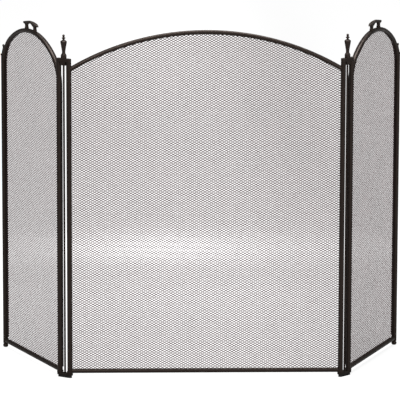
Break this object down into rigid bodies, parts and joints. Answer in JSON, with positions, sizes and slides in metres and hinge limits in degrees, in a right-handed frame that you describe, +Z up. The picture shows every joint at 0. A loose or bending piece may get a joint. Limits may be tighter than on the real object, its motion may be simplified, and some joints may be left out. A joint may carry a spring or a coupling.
{
  "type": "fireplace screen",
  "caption": "Folding fireplace screen with an arched mesh middle panel, hinged arched mesh wings with top handles, finials at the hinges and outer posts.",
  "frame": {"origin": "middle of the footprint at floor level, with the screen standing part-folded as at rest", "axes": "+X along the middle panel to the right as seen from the room, +Y from the room towards the fire, +Z up"},
  "size_m": [1.0194, 0.3412, 0.8811],
  "materials": {
    "frame_paint": "dark bronze powder coat, satin",
    "hinge_paint": "dark bronze powder coat, satin, worn at the pivots",
    "castings": "dark bronze coat on cast and turned metal, slightly uneven",
    "mesh_wire": "dark bronze coat on diamond mesh, satin",
    "rivet_heads": "dark bronze coat",
    "pin_steel": "bare turned steel",
    "washer_nylon": "black nylon",
    "pad_rubber": "black rubber"
  },
  "bodies": {
    "middle_panel": {"middle_arch_tube": "frame_paint", "middle_bottom_rail": "frame_paint", "middle_mesh": "mesh_wire", "middle_mesh_strips": "frame_paint", "middle_post_ferrules": "frame_paint", "middle_post_left": "frame_paint", "middle_post_plugs": "pin_steel", "middle_post_right": "frame_paint", "middle_rivets": "rivet_heads"},
    "hinge_left": {"hinge_left_base_plate": "hinge_paint", "hinge_left_finial": "castings", "hinge_left_foot_pad": "pad_rubber", "hinge_left_pivot_pins": "pin_steel", "hinge_left_rod": "hinge_paint", "hinge_left_top_plate": "hinge_paint", "hinge_left_washers": "washer_nylon"},
    "wing_left": {"wing_left_arch_tube": "frame_paint", "wing_left_bottom_rail": "frame_paint", "wing_left_handle_grip": "castings", "wing_left_handle_stubs": "castings", "wing_left_inner_ferrule": "frame_paint", "wing_left_inner_plugs": "pin_steel", "wing_left_inner_post": "frame_paint", "wing_left_mesh": "mesh_wire", "wing_left_mesh_strips": "frame_paint", "wing_left_outer_cap": "castings", "wing_left_outer_finial": "castings", "wing_left_outer_foot": "castings", "wing_left_outer_post": "frame_paint", "wing_left_rivets": "rivet_heads"},
    "hinge_right": {"hinge_right_base_plate": "hinge_paint", "hinge_right_finial": "castings", "hinge_right_foot_pad": "pad_rubber", "hinge_right_pivot_pins": "pin_steel", "hinge_right_rod": "hinge_paint", "hinge_right_top_plate": "hinge_paint", "hinge_right_washers": "washer_nylon"},
    "wing_right": {"wing_right_arch_tube": "frame_paint", "wing_right_bottom_rail": "frame_paint", "wing_right_handle_grip": "castings", "wing_right_handle_stubs": "castings", "wing_right_inner_ferrule": "frame_paint", "wing_right_inner_plugs": "pin_steel", "wing_right_inner_post": "frame_paint", "wing_right_mesh": "mesh_wire", "wing_right_mesh_strips": "frame_paint", "wing_right_outer_cap": "castings", "wing_right_outer_finial": "castings", "wing_right_outer_foot": "castings", "wing_right_outer_post": "frame_paint", "wing_right_rivets": "rivet_heads"}
  },
  "joints": [
    {"name": "link_left_swing", "type": "hinge", "parent": "middle_panel", "child": "hinge_left", "pos_m": [-0.33457, -0.16262, 0], "axis": [0, 0, -1], "range_deg": [-32.5, 57.5]},
    {"name": "wing_left_swing", "type": "hinge", "parent": "hinge_left", "child": "wing_left", "pos_m": [-0.35903, -0.14704, 0], "axis": [0, 0, -1], "range_deg": [-32.3, 46.7]},
    {"name": "link_right_swing", "type": "hinge", "parent": "middle_panel", "child": "hinge_right", "pos_m": [0.34273, -0.16262, 0], "axis": [0, 0, 1], "range_deg": [-43.4, 46.6]},
    {"name": "wing_right_swing", "type": "hinge", "parent": "hinge_right", "child": "wing_right", "pos_m": [0.3638, -0.1427, 0], "axis": [0, 0, 1], "range_deg": [-22.3, 56.7]}
  ]
}
